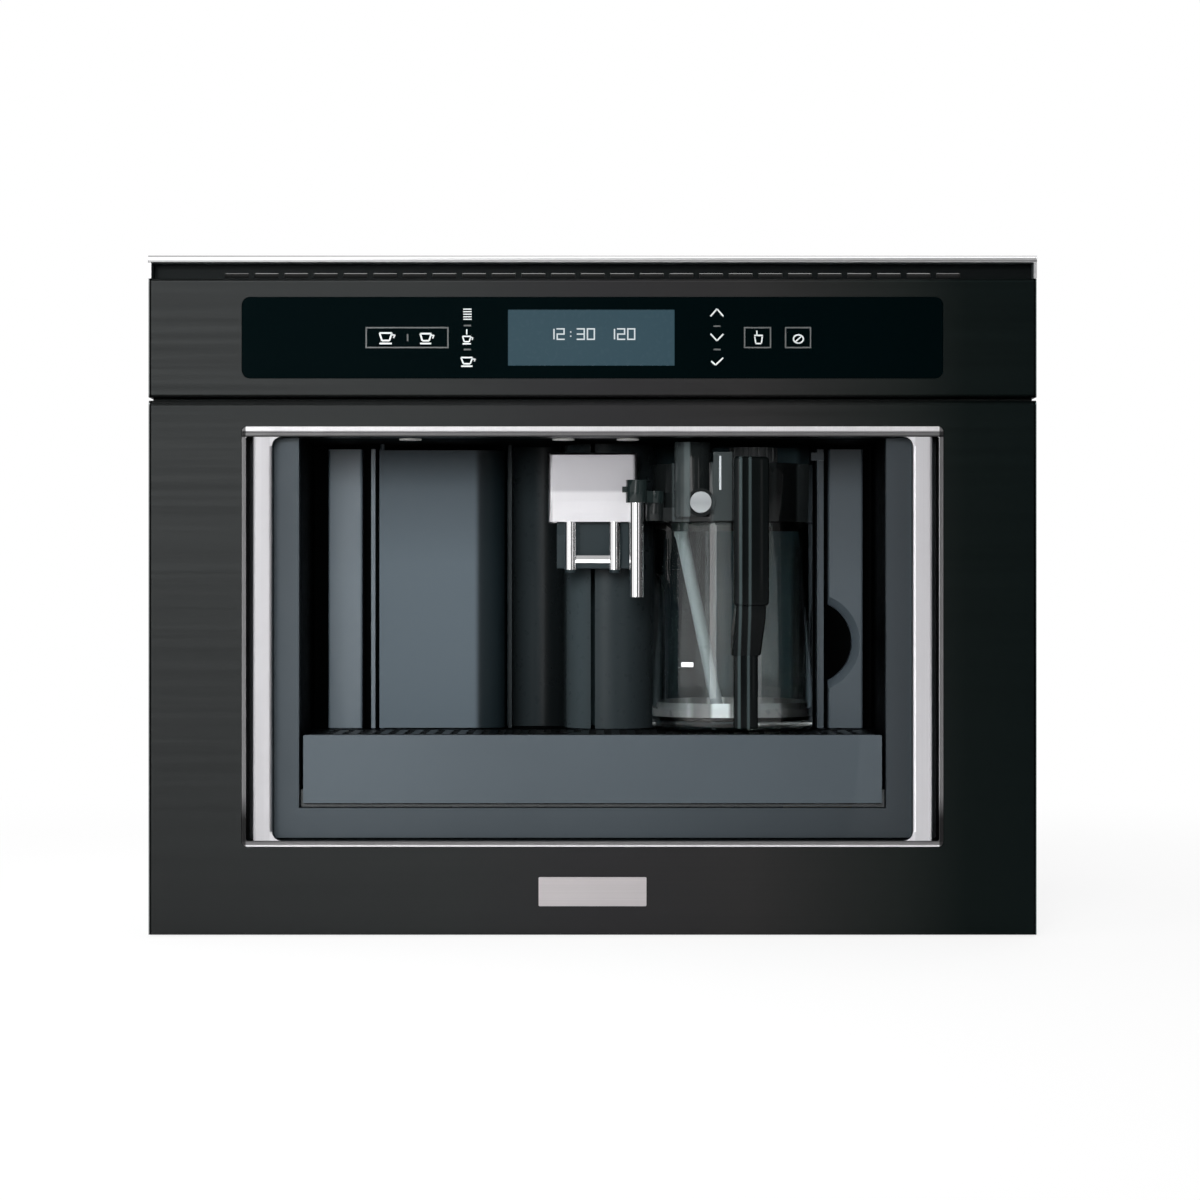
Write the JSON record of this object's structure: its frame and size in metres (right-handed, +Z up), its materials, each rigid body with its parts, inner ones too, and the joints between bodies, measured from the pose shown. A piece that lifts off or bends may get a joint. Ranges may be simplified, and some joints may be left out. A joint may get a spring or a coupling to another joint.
{
  "type": "built-in coffee machine",
  "caption": "Built-in coffee machine for a compact niche, with milk carafe, drip tray and service door, that slides out on telescopic rails.",
  "frame": {"origin": "under the middle of the machine, at the foot of the lower fascia", "axes": "+X to the right seen from the front, +Y to the back of the machine, +Z up"},
  "size_m": [0.595, 0.41, 0.455],
  "materials": {
    "rail_steel": "zinc plated steel rail",
    "zinc_sheet": "galvanised sheet",
    "black_steel": "black brushed stainless steel, satin",
    "trim_silver": "bright anodised",
    "panel_glass": "dark glass, printed black behind",
    "display": "blue-grey lit display",
    "bezel_chrome": "satin chrome",
    "satin_grey": "satin blue-grey paint",
    "liner_black": "dark satin plastic",
    "gloss_black": "gloss black",
    "lamp_lens": "frosted lens",
    "black_plastic": "fine grained black plastic",
    "ivory_plastic": "ivory plastic",
    "orange_plastic": "orange plastic",
    "motor_grey": "grey cast housing",
    "pump_brass": "brass and moulded coil",
    "boiler_metal": "cast aluminium",
    "board_green": "circuit board",
    "hose_white": "silicone hose",
    "door_grey": "dark satin paint",
    "grille_steel": "black coated steel",
    "float_red": "red plastic",
    "spout_silver": "satin silver, fine blasted",
    "chrome": "polished chrome",
    "clear_glass": "clear glass",
    "white_plastic": "white plastic",
    "milk_tube": "clear grey tube",
    "tank_clear": "clear plastic"
  },
  "bodies": {
    "cabinet": {"cabinet_rails": "rail_steel"},
    "machine": {"machine_rails": "rail_steel", "base_pan": "zinc_sheet", "side_panel_left": "zinc_sheet", "side_panel_right": "zinc_sheet", "rear_panel": "zinc_sheet", "top_cover": "black_plastic", "front_frame": "zinc_sheet", "top_trim": "trim_silver", "control_fascia": "black_steel", "control_glass": "panel_glass", "display_screen": "display", "lower_fascia": "black_steel", "nameplate": "spout_silver", "bezel_frame": "bezel_chrome", "grip_bars": "bezel_chrome", "niche_surround": "satin_grey", "niche_shell": "liner_black", "back_strips": "satin_grey", "column_cover": "gloss_black", "tray_bed": "black_plastic", "cup_lamps": "lamp_lens", "steam_connector": "black_plastic", "brew_frame": "ivory_plastic", "grounds_bin": "black_plastic", "grinder": "motor_grey", "bean_hopper": "tank_clear", "ground_funnel": "black_plastic", "water_pump": "pump_brass", "coffee_boiler": "boiler_metal", "steam_boiler": "boiler_metal", "power_board": "board_green", "hoses": "hose_white", "mains_inlet": "black_plastic", "cover_screws": "chrome"},
    "rail_middle": {"middle_rails": "rail_steel", "rail_balls": "chrome"},
    "door": {"service_door": "door_grey"},
    "drip_tray": {"drip_pan": "black_plastic", "drip_front": "satin_grey", "drip_grille": "grille_steel"},
    "float": {"tray_float": "float_red"},
    "spout": {"spout_block": "spout_silver", "spout_core": "black_plastic", "spout_nozzles": "chrome"},
    "carafe": {"carafe_glass": "clear_glass", "carafe_lid": "gloss_black", "carafe_handle": "gloss_black", "milk_intake_tube": "milk_tube"},
    "milk_spout": {"milk_spout_arm": "gloss_black", "milk_spout_tube": "chrome"},
    "clean_key": {"clean_button": "white_plastic"},
    "dial": {"froth_dial": "black_plastic"},
    "tank": {"water_tank": "tank_clear"},
    "tank_flap": {"tank_lid": "black_plastic"},
    "bean_flap": {"bean_lid": "black_plastic"},
    "ground_flap": {"ground_lid": "black_plastic"},
    "knob": {"grind_knob": "black_plastic"},
    "rocker": {"switch_rocker": "black_plastic"},
    "piston": {"brew_piston": "orange_plastic"}
  },
  "joints": [
    {"name": "machine_slide", "type": "slide", "parent": "cabinet", "child": "machine", "axis": [0, -1, 0], "range_m": [0, 0.34]},
    {"name": "rail_middle_slide", "type": "slide", "parent": "cabinet", "child": "rail_middle", "axis": [0, -1, 0], "range_m": [0, 0.17]},
    {"name": "service_door_hinge", "type": "hinge", "parent": "machine", "child": "door", "pos_m": [-0.1484, -0.092, 0.232], "axis": [0, 0, -1], "range_deg": [0, 95]},
    {"name": "drip_tray_slide", "type": "slide", "parent": "machine", "child": "drip_tray", "axis": [0, -1, 0], "range_m": [0, 0.16]},
    {"name": "tray_float_rise", "type": "slide", "parent": "drip_tray", "child": "float", "axis": [0, 0, 1], "range_m": [0, 0.006]},
    {"name": "spout_height", "type": "slide", "parent": "machine", "child": "spout", "axis": [0, 0, -1], "range_m": [0, 0.06]},
    {"name": "carafe_dock", "type": "slide", "parent": "machine", "child": "carafe", "axis": [0, -1, 0], "range_m": [0, 0.18]},
    {"name": "milk_spout_swivel", "type": "hinge", "parent": "carafe", "child": "milk_spout", "pos_m": [0.0427, -0.154, 0.29], "axis": [0, 0, 1], "range_deg": [0, 65]},
    {"name": "clean_button_press", "type": "slide", "parent": "carafe", "child": "clean_key", "axis": [0, 1, 0], "range_m": [0, 0.0025], "stiffness_N_per_m": 400},
    {"name": "froth_dial_turn", "type": "hinge", "parent": "carafe", "child": "dial", "pos_m": [0.112, -0.109, 0.32], "axis": [0, 0, 1], "range_deg": [0, 90]},
    {"name": "water_tank_lift", "type": "slide", "parent": "machine", "child": "tank", "axis": [0, 0, 1], "range_m": [0, 0.16]},
    {"name": "tank_lid_hinge", "type": "hinge", "parent": "tank", "child": "tank_flap", "pos_m": [0.196, 0.177, 0.4356], "axis": [-1, 0, 0], "range_deg": [0, 95]},
    {"name": "bean_lid_hinge", "type": "hinge", "parent": "machine", "child": "bean_flap", "pos_m": [-0.143, 0.002, 0.4456], "axis": [-1, 0, 0], "range_deg": [0, 95]},
    {"name": "ground_lid_hinge", "type": "hinge", "parent": "machine", "child": "ground_flap", "pos_m": [-0.078, 0.043, 0.4456], "axis": [-1, 0, 0], "range_deg": [0, 95]},
    {"name": "grind_knob_turn", "type": "hinge", "parent": "machine", "child": "knob", "pos_m": [-0.032, -0.054, 0.445], "axis": [0, 0, 1], "range_deg": [0, 270]},
    {"name": "main_switch_rock", "type": "hinge", "parent": "machine", "child": "rocker", "pos_m": [-0.128, 0.197, 0.06], "axis": [-1, 0, 0], "range_deg": [0, 16]},
    {"name": "brew_piston_rise", "type": "slide", "parent": "machine", "child": "piston", "axis": [0, 0, 1], "range_m": [0, 0.03]}
  ],
  "couplings": [
    {"joint": "rail_middle_slide", "follows": "machine_slide", "ratio": 0.5}
  ]
}
